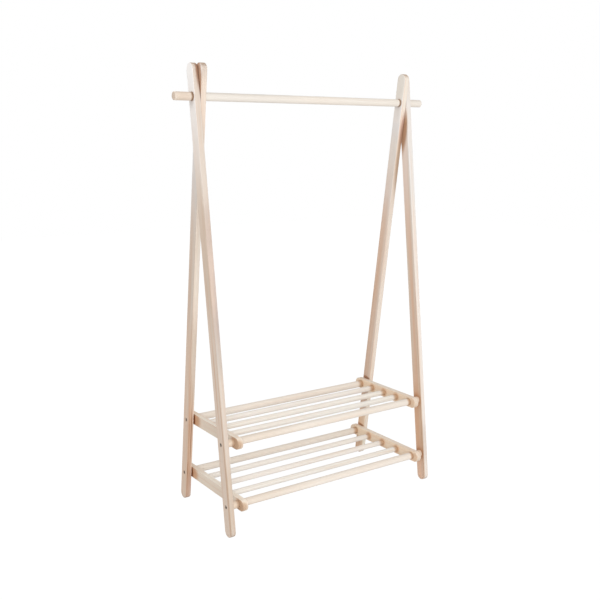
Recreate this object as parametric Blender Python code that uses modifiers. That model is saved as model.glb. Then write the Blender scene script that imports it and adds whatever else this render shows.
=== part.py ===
"""Clothes rack: two crossed-leg end frames, a hanging rail and two slatted shelves.

Run with: blender --background --python part.py
Metres, +Z up. The rail runs along X, the front is towards -Y, and the origin
is on the floor in the middle of the rack.
"""
import math

import bmesh
import bpy
from mathutils import Euler, Vector

# Overall stance
rail_height = 1.405
foot_reach = 0.183
frame_width = 0.880
leg_top_reach = 0.100

# Flat stock of the legs and the shelf sides
stock_width = 0.040
stock_thickness = 0.020
stock_edge_radius = 0.0025
foot_flat_depth = 0.0005
leg_pair_gap = 0.0012

# Hanging rail
rail_diameter = 0.026
rail_length = 1.003
rail_end_radius = 0.0025
rail_hole_clearance = 0.0006

# Shelves
upper_shelf_height = 0.3125
lower_shelf_height = 0.1035
shelf_side_end_margin = 0.036
thick_dowel_diameter = 0.026
thin_dowel_diameter = 0.020
dowel_housing_depth = 0.008
dowel_end_chamfer = 0.001
thin_dowel_place_shares = (-0.5, 0.0, 0.5)

# Spacers that keep the shelf sides clear of the legs
back_spacer_thickness = 0.0038
spacer_chamfer = 0.0008

# Bolts, their sunk heads and the threaded inserts in the thick dowels
bolt_diameter = 0.006
bolt_head_diameter = 0.0112
bolt_head_height = 0.004
bolt_chamfer = 0.0006
bolt_hole_clearance = 0.0004
head_recess_depth = 0.006
head_recess_clearance = 0.0009
socket_width = 0.005
socket_depth = 0.0024
insert_diameter = 0.010
insert_length = 0.015
bolt_reach_share = 0.9

# Clearances and working distances
seat_gap = 0.0003
cut_overrun = 0.004
weld_distance = 0.00001

# Roundness
end_segments = 12
edge_segments = 2
rod_edge_segments = 1
rail_edge_segments = 3
rod_steps = 24
rail_steps = 32
hole_steps = 18
spacer_steps = 20
small_steps = 12

# Colours
leg_colour = (0.66, 0.53, 0.41)
side_colour = (0.69, 0.58, 0.46)
dowel_colour = (0.74, 0.63, 0.51)
rail_colour = (0.77, 0.66, 0.54)
spacer_colour = (0.62, 0.47, 0.34)
steel_colour = (0.16, 0.14, 0.12)
brass_colour = (0.55, 0.45, 0.26)

# Values that follow from the sizes
lean = math.atan2(foot_reach, rail_height)
half_frame = frame_width / 2
back_leg_inset = stock_thickness + leg_pair_gap
side_inset = back_leg_inset + stock_thickness + back_spacer_thickness + 2 * seat_gap
side_inner_inset = side_inset + stock_thickness
dowel_end_inset = side_inner_inset - dowel_housing_depth
dowel_length = frame_width - 2 * dowel_end_inset
front_spacer_length = side_inset - stock_thickness - 2 * seat_gap
bolt_radius = bolt_diameter / 2
bolt_hole_radius = bolt_radius + bolt_hole_clearance
shelves = (("upper", upper_shelf_height), ("lower", lower_shelf_height))
sides = (("left", -1), ("right", 1))
rows = (("front", -1), ("back", 1))


def leg_offset(height):
    """Distance of a leg's centre line from the rack's middle plane at a height."""
    return foot_reach * (1 - height / rail_height)


def side_x(side, inset):
    """X of a plane that lies an inset inside the outer face of a front leg."""
    return side * (half_frame - inset)


def clear_scene():
    for item in list(bpy.data.objects):
        bpy.data.objects.remove(item, do_unlink=True)


def new_collection(name):
    collection = bpy.data.collections.new(name)
    bpy.context.scene.collection.children.link(collection)
    return collection


def new_material(name, colour, roughness, metallic):
    material = bpy.data.materials.new(name)
    material.use_nodes = True
    shader = material.node_tree.nodes["Principled BSDF"]
    shader.inputs["Base Color"].default_value = (*colour, 1)
    shader.inputs["Roughness"].default_value = roughness
    shader.inputs["Metallic"].default_value = metallic
    material.diffuse_color = (*colour, 1)
    return material


def wood(name, colour):
    return new_material(name + "_wood", colour, 0.62, 0)


def metal(name, colour):
    return new_material(name + "_metal", colour, 0.38, 1)


def bar_outline(down, up, width):
    """Outline of a flat bar with full-round ends, along +Y from -down to up."""
    radius = width / 2
    points = []
    for middle, start in ((up - radius, 0), (radius - down, math.pi)):
        for step in range(end_segments + 1):
            angle = start + math.pi * step / end_segments
            points.append((radius * math.cos(angle), middle + radius * math.sin(angle)))
    return points


def flat_bar(name, outline, material):
    """A bar cut from the flat stock, with all its edges rounded over."""
    curve = bpy.data.curves.new(name + "_outline", "CURVE")
    curve.dimensions = "2D"
    curve.fill_mode = "BOTH"
    curve.extrude = stock_thickness / 2
    spline = curve.splines.new("POLY")
    spline.points.add(len(outline) - 1)
    for point, (x, y) in zip(spline.points, outline):
        point.co = (x, y, 0, 1)
    spline.use_cyclic_u = True
    guide = bpy.data.objects.new(name + "_outline", curve)
    parts.objects.link(guide)
    evaluated = guide.evaluated_get(bpy.context.evaluated_depsgraph_get())
    mesh = bpy.data.meshes.new_from_object(evaluated)
    bpy.data.objects.remove(guide, do_unlink=True)
    shape = bmesh.new()
    shape.from_mesh(mesh)
    bmesh.ops.remove_doubles(shape, verts=shape.verts, dist=weld_distance)
    bmesh.ops.dissolve_limit(shape, angle_limit=math.radians(1), verts=shape.verts, edges=shape.edges)
    bmesh.ops.recalc_face_normals(shape, faces=shape.faces)
    shape.to_mesh(mesh)
    shape.free()
    mesh.name = name
    mesh.materials.clear()
    mesh.materials.append(material)
    mesh.shade_smooth()
    bar = bpy.data.objects.new(name, mesh)
    parts.objects.link(bar)
    edge_bevel = bar.modifiers.new("rounded_edges", "BEVEL")
    edge_bevel.width = stock_edge_radius
    edge_bevel.segments = edge_segments
    edge_bevel.limit_method = "ANGLE"
    edge_bevel.angle_limit = math.radians(60)
    return bar


def arc(centre_radius, centre_z, radius, start, steps):
    """Quarter of a turn of a rounded corner in a turned profile, clockwise from start."""
    points = []
    for step in range(steps + 1):
        angle = start - math.pi / 2 * step / steps
        points.append((centre_radius + radius * math.cos(angle), centre_z + radius * math.sin(angle)))
    return points


def rod_profile(radius, length, end_radius, segments):
    """Profile of a round bar with softened ends, from the top centre to the bottom centre."""
    top = arc(radius - end_radius, length / 2 - end_radius, end_radius, math.pi / 2, segments)
    bottom = arc(radius - end_radius, end_radius - length / 2, end_radius, 0, segments)
    return [(0, length / 2)] + top + bottom + [(0, -length / 2)]


def ring_profile(outer_radius, inner_radius, length, chamfer):
    """Closed profile of a drilled disc or sleeve with chamfered outer edges."""
    return [(outer_radius - chamfer, length / 2), (outer_radius, length / 2 - chamfer),
            (outer_radius, chamfer - length / 2), (outer_radius - chamfer, -length / 2),
            (inner_radius, -length / 2), (inner_radius, length / 2)]


def stepped_profile(steps):
    """Profile of a stepped solid, from (radius, top, bottom) steps listed top to bottom."""
    points = [(0, steps[0][1])]
    for radius, top, bottom in steps:
        points += [(radius, top), (radius, bottom)]
    return points + [(0, steps[-1][2])]


def turned(name, profile, steps, collection, closed=False):
    """A turned piece: the profile (radius, z) swept once round Z by a Screw modifier."""
    mesh = bpy.data.meshes.new(name)
    shape = bmesh.new()
    corners = [shape.verts.new((radius, 0, z)) for radius, z in profile]
    for first, second in zip(corners, corners[1:]):
        shape.edges.new((first, second))
    if closed:
        shape.edges.new((corners[-1], corners[0]))
    shape.to_mesh(mesh)
    shape.free()
    item = bpy.data.objects.new(name, mesh)
    collection.objects.link(item)
    screw = item.modifiers.new("turn", "SCREW")
    screw.axis = "Z"
    screw.angle = math.tau
    screw.steps = steps
    screw.render_steps = steps
    screw.use_merge_vertices = True
    screw.merge_threshold = weld_distance
    screw.use_smooth_shade = True
    return item


def cutter(name, profile, steps):
    item = turned(name, profile, steps, cutters)
    item.hide_render = True
    item.display_type = "WIRE"
    return item


def cut(target, tool):
    bore = target.modifiers.new(tool.name, "BOOLEAN")
    bore.operation = "DIFFERENCE"
    bore.solver = "EXACT"
    bore.object = tool


def turn_along_x(item, side):
    """Points a piece that was made along +Z along X, towards the given side."""
    item.rotation_euler = Euler((0, side * math.pi / 2, 0))


def make_rod(name, radius, length, end_radius, segments, steps, place, colour):
    rod = turned(name, rod_profile(radius, length, end_radius, segments), steps, parts)
    rod.data.materials.append(wood(name, colour))
    turn_along_x(rod, 1)
    rod.location = place
    return rod


def make_floor_cutter():
    """A block whose top is the floor, which trims the feet flat."""
    mesh = bpy.data.meshes.new("floor_cutter")
    shape = bmesh.new()
    bmesh.ops.create_cube(shape, size=1)
    size = Vector((frame_width + 2 * cut_overrun, 2 * foot_reach + 2 * stock_width, cut_overrun))
    bmesh.ops.scale(shape, vec=size, verts=shape.verts)
    bmesh.ops.translate(shape, vec=(0, 0, -cut_overrun / 2), verts=shape.verts)
    shape.to_mesh(mesh)
    shape.free()
    block = bpy.data.objects.new("floor_cutter", mesh)
    cutters.objects.link(block)
    block.hide_render = True
    block.display_type = "WIRE"
    return block


def make_legs():
    """Four legs that cross at the rail, the front pair outside the back pair."""
    rail_bore = cutter("rail_bore", stepped_profile([(
        rail_diameter / 2 + rail_hole_clearance, half_frame + cut_overrun, -half_frame - cut_overrun)]), rail_steps)
    turn_along_x(rail_bore, 1)
    rail_bore.location = (0, 0, rail_height)
    floor_block = make_floor_cutter()
    foot_centre_height = stock_width / 2 - foot_flat_depth
    leg_down = (rail_height - foot_centre_height) / math.cos(lean) + stock_width / 2
    outline = bar_outline(leg_down, leg_top_reach, stock_width)
    recess_radius = bolt_head_diameter / 2 + head_recess_clearance
    bore_profile = stepped_profile([
        (recess_radius, cut_overrun, -head_recess_depth),
        (bolt_hole_radius, -head_recess_depth, -stock_thickness - cut_overrun)])
    for row, depth in rows:
        inset = 0 if row == "front" else back_leg_inset
        for side_name, side in sides:
            name = f"{row}_{side_name}_leg"
            leg = flat_bar(name, outline, wood(name, leg_colour))
            leg.location = (side_x(side, inset + stock_thickness / 2), 0, rail_height)
            leg.rotation_euler = Euler((math.pi / 2, -depth * lean, math.pi / 2))
            cut(leg, rail_bore)
            cut(leg, floor_block)
            for shelf, height in shelves:
                bore = cutter(f"{name}_{shelf}_bore", bore_profile, hole_steps)
                turn_along_x(bore, side)
                bore.location = (side_x(side, inset), depth * leg_offset(height), height)
                cut(leg, bore)


def make_shelf_sides():
    """Two boards to a shelf, drilled on the inside for the ends of its dowels."""
    housing_bottom = -dowel_housing_depth - seat_gap
    thick_profile = stepped_profile([
        (thick_dowel_diameter / 2 + seat_gap, cut_overrun, housing_bottom),
        (bolt_hole_radius, housing_bottom, -stock_thickness - cut_overrun)])
    thin_profile = stepped_profile([(thin_dowel_diameter / 2 + seat_gap, cut_overrun, housing_bottom)])
    for shelf, height in shelves:
        reach = leg_offset(height)
        half_length = reach + shelf_side_end_margin
        outline = bar_outline(half_length, half_length, stock_width)
        for side_name, side in sides:
            name = f"{shelf}_shelf_{side_name}_side"
            board = flat_bar(name, outline, wood(name, side_colour))
            board.location = (side_x(side, side_inset + stock_thickness / 2), 0, height)
            board.rotation_euler = Euler((0, math.pi / 2, 0))
            places = [(row, depth * reach, thick_profile) for row, depth in rows]
            places += [(f"thin_{index}", share * reach, thin_profile)
                       for index, share in enumerate(thin_dowel_place_shares)]
            for label, y, profile in places:
                bore = cutter(f"{name}_{label}_bore", profile, hole_steps)
                turn_along_x(bore, -side)
                bore.location = (side_x(side, side_inner_inset), y, height)
                cut(board, bore)


def make_dowels():
    """Five dowels to a shelf: a thick one at each bolt axis and three thin ones between."""
    socket_profile = stepped_profile([
        (insert_diameter / 2 + seat_gap, cut_overrun, -insert_length - seat_gap)])
    for shelf, height in shelves:
        reach = leg_offset(height)
        for row, depth in rows:
            name = f"{shelf}_shelf_{row}_dowel"
            place = (0, depth * reach, height)
            dowel = make_rod(name, thick_dowel_diameter / 2, dowel_length, dowel_end_chamfer,
                             rod_edge_segments, rod_steps, place, dowel_colour)
            for side_name, side in sides:
                socket = cutter(f"{name}_{side_name}_socket", socket_profile, small_steps)
                turn_along_x(socket, side)
                socket.location = (side_x(side, dowel_end_inset), depth * reach, height)
                cut(dowel, socket)
        for label, share in zip(("front", "middle", "back"), thin_dowel_place_shares):
            make_rod(f"{shelf}_shelf_{label}_thin_dowel", thin_dowel_diameter / 2, dowel_length,
                     dowel_end_chamfer, rod_edge_segments, rod_steps, (0, share * reach, height), dowel_colour)


def make_spacers():
    """Drilled rounds on the bolts: long ones behind the front legs, thin ones behind the back legs."""
    outer_radius = thick_dowel_diameter / 2
    for row, depth in rows:
        length = front_spacer_length if row == "front" else back_spacer_thickness
        for shelf, height in shelves:
            for side_name, side in sides:
                name = f"{shelf}_{row}_{side_name}_spacer"
                profile = ring_profile(outer_radius, bolt_hole_radius, length, spacer_chamfer)
                spacer = turned(name, profile, spacer_steps, parts, closed=True)
                spacer.data.materials.append(wood(name, spacer_colour))
                turn_along_x(spacer, side)
                spacer.location = (side_x(side, side_inset - seat_gap - length / 2),
                                   depth * leg_offset(height), height)


def make_hexagon():
    """Cutter for the hexagon sockets, placed in a head that stands on z = 0."""
    mesh = bpy.data.meshes.new("socket_hexagon")
    shape = bmesh.new()
    corner_radius = socket_width / 2 / math.cos(math.pi / 6)
    depth = socket_depth + cut_overrun
    bmesh.ops.create_cone(shape, cap_ends=True, segments=6, radius1=corner_radius,
                          radius2=corner_radius, depth=depth)
    bmesh.ops.translate(shape, vec=(0, 0, bolt_head_height - socket_depth + depth / 2), verts=shape.verts)
    shape.to_mesh(mesh)
    shape.free()
    return mesh


def make_bolts():
    """Socket-head bolts, through leg, spacer and shelf side into the inserts."""
    hexagon = make_hexagon()
    head_radius = bolt_head_diameter / 2
    for row, depth in rows:
        inset = (0 if row == "front" else back_leg_inset) + head_recess_depth - seat_gap
        length = dowel_end_inset + insert_length * bolt_reach_share - inset
        profile = [(0, bolt_head_height), (head_radius - bolt_chamfer, bolt_head_height),
                   (head_radius, bolt_head_height - bolt_chamfer), (head_radius, 0), (bolt_radius, 0),
                   (bolt_radius, bolt_chamfer - length), (bolt_radius - bolt_chamfer, -length), (0, -length)]
        for shelf, height in shelves:
            for side_name, side in sides:
                name = f"{shelf}_{row}_{side_name}_bolt"
                place = (side_x(side, inset), depth * leg_offset(height), height)
                bolt = turned(name, profile, small_steps, parts)
                bolt.data.materials.append(metal(name, steel_colour))
                socket = bpy.data.objects.new(name + "_socket", hexagon)
                cutters.objects.link(socket)
                socket.hide_render = True
                socket.display_type = "WIRE"
                for item in (bolt, socket):
                    turn_along_x(item, side)
                    item.location = place
                cut(bolt, socket)


def make_inserts():
    """Threaded inserts, flush with the ends of the thick dowels."""
    outer_radius = insert_diameter / 2
    inner_radius = bolt_radius + seat_gap
    profile = [(outer_radius, insert_length / 2), (outer_radius, -insert_length / 2),
               (inner_radius, -insert_length / 2), (inner_radius, insert_length / 2)]
    for row, depth in rows:
        for shelf, height in shelves:
            for side_name, side in sides:
                name = f"{shelf}_{row}_{side_name}_insert"
                insert = turned(name, profile, small_steps, parts, closed=True)
                insert.data.materials.append(metal(name, brass_colour))
                turn_along_x(insert, side)
                insert.location = (side_x(side, dowel_end_inset + insert_length / 2),
                                   depth * leg_offset(height), height)


def add_root():
    """An empty on the floor that carries the whole rack."""
    root = bpy.data.objects.new("rack_root", None)
    root.empty_display_size = stock_width
    parts.objects.link(root)
    for item in parts.objects:
        if item is not root and item.parent is None:
            item.parent = root


clear_scene()
parts = new_collection("clothes_rack")
cutters = new_collection("cutters")
make_legs()
make_rod("hanging_rail", rail_diameter / 2, rail_length, rail_end_radius, rail_edge_segments, rail_steps,
         (0, 0, rail_height), rail_colour)
make_shelf_sides()
make_dowels()
make_spacers()
make_bolts()
make_inserts()
add_root()
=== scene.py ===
# %% [markdown]
# # A wooden clothes rack
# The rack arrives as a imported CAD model: four legs, four shelf sides, a hanging rail,
# ten round bars, and the spacers, bolts and inserts that hold them. We load it as a
# fixed frame, so every piece made here has a place to sit in.

import math

import bmesh
import bpy
from mathutils import Euler, Matrix, Vector


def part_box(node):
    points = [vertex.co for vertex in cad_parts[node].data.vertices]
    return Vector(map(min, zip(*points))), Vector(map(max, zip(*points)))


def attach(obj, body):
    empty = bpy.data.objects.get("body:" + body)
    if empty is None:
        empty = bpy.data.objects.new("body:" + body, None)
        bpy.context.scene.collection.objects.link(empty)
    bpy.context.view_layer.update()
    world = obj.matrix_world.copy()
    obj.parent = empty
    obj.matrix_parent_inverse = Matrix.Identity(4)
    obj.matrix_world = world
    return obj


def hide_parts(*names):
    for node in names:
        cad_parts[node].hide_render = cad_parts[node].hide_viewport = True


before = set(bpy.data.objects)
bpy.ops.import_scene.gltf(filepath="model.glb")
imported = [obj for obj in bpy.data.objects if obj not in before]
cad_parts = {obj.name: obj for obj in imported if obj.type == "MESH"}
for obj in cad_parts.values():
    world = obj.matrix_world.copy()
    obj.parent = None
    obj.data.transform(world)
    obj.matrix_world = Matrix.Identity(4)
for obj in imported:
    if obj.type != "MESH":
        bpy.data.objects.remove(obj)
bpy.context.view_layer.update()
print("CAD nodes:", len(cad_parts))

# %% [markdown]
# ## Camera
# The photograph was taken from the front left, a little below the rail's height, and a
# 50 mm lens fits it. The upright shift keeps the rack in the middle of the square. The
# camera could be tipped further down instead, but then the legs would converge more than
# they do.

# %% Camera
camera_place = Vector((-1.6855, -2.3776, 1.3006))
camera_yaw = math.radians(34.872)
camera_pitch = math.radians(-14.367)
camera_roll = math.radians(0.380)

camera_data = bpy.data.cameras.new("portrait_camera")
camera_data.lens = 50.011
camera_data.sensor_width = 36
camera_data.shift_y = 0.07612
camera = bpy.data.objects.new("portrait_camera", camera_data)
bpy.context.scene.collection.objects.link(camera)
camera.matrix_world = (Matrix.Translation(camera_place)
                       @ Matrix.Rotation(-camera_yaw, 4, "Z")
                       @ Matrix.Rotation(math.pi / 2 + camera_pitch, 4, "X")
                       @ Matrix.Rotation(camera_roll, 4, "Z"))
bpy.context.scene.camera = camera
bpy.context.scene.view_settings.view_transform = "Standard"
looks_along = camera.matrix_world.to_3x3() @ Vector((0, 0, -1))
print("camera looks along", [round(v, 3) for v in looks_along])

# %% [markdown]
# ## Sums in a node tree
# Wood is worked out from where a point lies in the log, and that takes a fair number of
# sums. A Math node for each would be slow to write and hard to read, so a small class
# wraps a socket and lets Python's own operators add the Math nodes.

# %% Sockets that can be added and multiplied
class Socket:
    """One output of a node. Arithmetic on it adds Math nodes to its tree."""

    def __init__(self, graph, socket):
        self.graph = graph
        self.socket = socket

    def maths(self, operation, *values):
        """Adds one Math node that works on the values, and gives its output."""
        inputs = dict(enumerate(values))
        return self.graph.node("ShaderNodeMath", {"operation": operation}, inputs)[0]

    def __add__(self, other):
        return self.maths("ADD", self, other)

    def __radd__(self, other):
        return self.maths("ADD", other, self)

    def __sub__(self, other):
        return self.maths("SUBTRACT", self, other)

    def __rsub__(self, other):
        return self.maths("SUBTRACT", other, self)

    def __mul__(self, other):
        return self.maths("MULTIPLY", self, other)

    def __rmul__(self, other):
        return self.maths("MULTIPLY", other, self)

    def __truediv__(self, other):
        return self.maths("DIVIDE", self, other)

    def __rtruediv__(self, other):
        return self.maths("DIVIDE", other, self)

    def __pow__(self, other):
        return self.maths("POWER", self, other)

    def __abs__(self):
        return self.maths("ABSOLUTE", self)


class Graph:
    """A node tree, with one method that adds any kind of node."""

    def __init__(self, tree):
        self.tree = tree
        self.tree.nodes.clear()

    def node(self, kind, settings=None, values=None):
        """Adds a node: its settings first, then the values or links of its sockets."""
        made = self.tree.nodes.new(kind)
        for key, value in (settings or {}).items():
            if key == "stops":
                ramp = made.color_ramp.elements
                while len(ramp) < len(value):
                    ramp.new(1)
                for stop, (position, colour) in zip(ramp, value):
                    stop.position = position
                    stop.color = colour
            else:
                setattr(made, key, value)
        for key, value in (values or {}).items():
            if isinstance(key, int):
                socket = made.inputs[key]
            else:
                socket = next(s for s in made.inputs if s.identifier == key)
            if isinstance(value, Socket):
                self.tree.links.new(value.socket, socket)
            else:
                socket.default_value = value
        return [Socket(self, socket) for socket in made.outputs]

    def mix(self, factor, first, second, blend="MIX"):
        """Mixes two colours, each a tuple or a socket."""
        first, second = [(*c, 1) if isinstance(c, tuple) else c for c in (first, second)]
        settings = {"data_type": "RGBA", "blend_type": blend, "clamp_factor": True}
        colours = {"Factor_Float": factor, "A_Color": first, "B_Color": second}
        return self.node("ShaderNodeMix", settings, colours)[2]

    def ramp(self, value, stops):
        """A grey ramp: each stop is a position and a level."""
        grey = [(position, (level, level, level, 1)) for position, level in stops]
        return self.node("ShaderNodeValToRGB", {"stops": grey}, {"Fac": value})[0]

    def smooth(self, value, start, end):
        """Goes smoothly from 0 at start to 1 at end."""
        return self.node("ShaderNodeMapRange", {"interpolation_type": "SMOOTHSTEP", "clamp": True},
                         {"Value": value, "From Min": start, "From Max": end})[0]

    def noise(self, vector, scale, detail=2.0, roughness=0.5):
        """Soft noise about 0.5. A larger scale makes it finer."""
        values = {"Vector": vector, "Scale": scale, "Detail": detail, "Roughness": roughness}
        return self.node("ShaderNodeTexNoise", {"noise_dimensions": "3D"}, values)[0]

    def scaled(self, vector, factors):
        """A vector with each of its parts multiplied by a factor."""
        values = {0: vector, 1: factors}
        return self.node("ShaderNodeVectorMath", {"operation": "MULTIPLY"}, values)[0]


print("a sum such as 1 - mask now adds its own Math node")

# %% [markdown]
# ## Studio
# A product photograph on white is lit from all sides, so its shadows are faint. The white
# could come from a backdrop that is lit until it clips, but its light would wash out the
# wood. So the floor and the air are white to the camera alone. To everything else they give
# a plain level of light, and the floor still holds a faint shadow.

# %% Studio floor and air
def camera_or_mirror(graph):
    """1 for rays that come from the camera or from a gloss or glass, 0 for all others."""
    seen = graph.node("ShaderNodeLightPath")
    rays = {socket.socket.name: socket for socket in seen}
    total = rays["Is Camera Ray"] + rays["Is Glossy Ray"] + rays["Is Transmission Ray"]
    return total.maths("MINIMUM", total, 1.0)


air_level = 0.64
floor_side = 16
floor_grey = (0.82, 0.82, 0.82, 1)
floor_shadow_share = 0.06
floor_white = 1.05

world = bpy.data.worlds.new("studio_air")
bpy.context.scene.world = world
world.use_nodes = True
air = Graph(world.node_tree)
plain = air.node("ShaderNodeBackground", {}, {"Color": (1, 1, 1, 1), "Strength": air_level})[0]
white = air.node("ShaderNodeBackground", {}, {"Color": (1, 1, 1, 1), "Strength": 1.0})[0]
shown = air.node("ShaderNodeMixShader", {}, {0: camera_or_mirror(air), 1: plain, 2: white})[0]
air.node("ShaderNodeOutputWorld", {}, {"Surface": shown})

bpy.ops.object.select_all(action="DESELECT")
bpy.ops.mesh.primitive_plane_add(size=floor_side, location=(0, 0, 0))
floor = bpy.context.object
floor.name = "studio_floor"
floor_material = bpy.data.materials.new("studio_floor")
floor_material.use_nodes = True
paper = Graph(floor_material.node_tree)
matt = paper.node("ShaderNodeBsdfDiffuse", {}, {"Color": floor_grey})[0]
glow = paper.node("ShaderNodeEmission", {}, {"Color": (1, 1, 1, 1), "Strength": floor_white})[0]
part_glow = camera_or_mirror(paper) * (1 - floor_shadow_share)
surface = paper.node("ShaderNodeMixShader", {}, {0: part_glow, 1: matt, 2: glow})[0]
paper.node("ShaderNodeOutputMaterial", {}, {"Surface": surface})
floor.data.materials.append(floor_material)
print("floor:", [round(v, 2) for v in floor.dimensions])

# %% [markdown]
# ## Lamps
# Four soft square lamps. Small hard ones would put a dark line beside every bar. The
# strongest stands by the camera and the next to the right of it, so the front faces are
# brighter than the sides. A weak one hangs overhead, and a small cool one lights the tops
# of the left-hand legs, which stand out palest.

# %% Lamps
def softbox(name, place, target, side, watts, spread=180, colour=(1, 1, 1)):
    """A square soft lamp that looks at a point and that the camera doesn't see."""
    lamp_data = bpy.data.lights.new(name, "AREA")
    lamp_data.shape = "SQUARE"
    lamp_data.size = side
    lamp_data.energy = watts
    lamp_data.spread = math.radians(spread)
    lamp_data.color = colour
    lamp = bpy.data.objects.new(name, lamp_data)
    bpy.context.scene.collection.objects.link(lamp)
    lamp.location = place
    lamp.rotation_euler = (Vector(target) - Vector(place)).to_track_quat("-Z", "Y").to_euler()
    lamp.visible_camera = False


softbox("camera_lamp", place=(-1.6, -2.7, 1.35), target=(0, 0, 0.9), side=1.6, watts=38)
softbox("front_lamp", place=(1.4, -3.2, 1.2), target=(0.2, 0, 0.7), side=2.0, watts=20.5)
softbox("overhead_lamp", place=(0.1, -0.9, 3.2), target=(0, 0, 0.6), side=1.8, watts=1.5)
softbox("top_left_lamp", place=(-2.3, -0.1, 2.05), target=(-0.2, 0, 1.72), side=0.6, watts=1.15,
        spread=45, colour=(0.95, 0.98, 1.0))

# %% [markdown]
# ## Wood
# The rack is planed softwood without lacquer. Wood looks as it does because a piece is cut
# out of a log. A flat picture of grain would show a seam where a face meets an end, so the
# pattern is worked out in three dimensions: the distance from the log's middle gives the
# growth rings, which show as long lines on the faces and as arcs on the ends. A Mapping
# node turns each piece's own length onto Z and moves it to its place in the log. Marks that
# one piece alone has are egg-shaped spots that multiply the colour of the wood. Most are
# painted shade, such as the dark round a bore or the brown deep between crossed legs, or
# painted light, where a tone above 1 lifts a face. The rest darken or lighten a stretch of a face.

# %% How planed softwood looks
# How much late wood a year's ring holds, from its first growth to its last.
ring_late_stops = [(0.0, 0.25), (0.12, 0.0), (0.5, 0.06), (0.8, 0.55), (0.93, 1.0), (1.0, 0.3)]
ring_gap = 0.0026
ring_waviness = 1.1         # rings
log_bend_reach = (0.022, 0.014)

# Noise in the wood: its scale, and how much of that is left along the grain.
log_bend = (9.0, 0.10)
ring_wave = (70.0, 0.04)
good_years = (45.0, 0.02)
fibres = (1500.0, 0.012)
streaks = (105.0, 0.025)
patches = (14.0, 0.30)

# From which value to which one a noise, or the cosine between two ways, takes effect.
streak_limits = (0.44, 0.80)
patch_limits = (0.45, 0.85)
end_limits = (0.35, 0.95)
facing_limits = (0.3, 0.8)
scuff_limits = (0.35, 0.7)

patch_share = 0.16
fibre_contrast = 0.14
poor_year = 0.35            # the late wood that even a poor year has
heart_raggedness = 0.004
end_late_gain = 0.6
end_darkening = 0.32
end_late_share = 0.45
scuff_scale = 210.0
scuff_height = 0.013
mark_core = 0.35           # the share of a mark's reach at which it starts to fade
mark_raggedness = 0.25
planed_roughness = 0.56
wood_gloss = 0.32
grain_strength = 0.30
grain_depth = 0.0004
print(f"wood: a ring every {ring_gap * 1000:.1f} mm")

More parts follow.
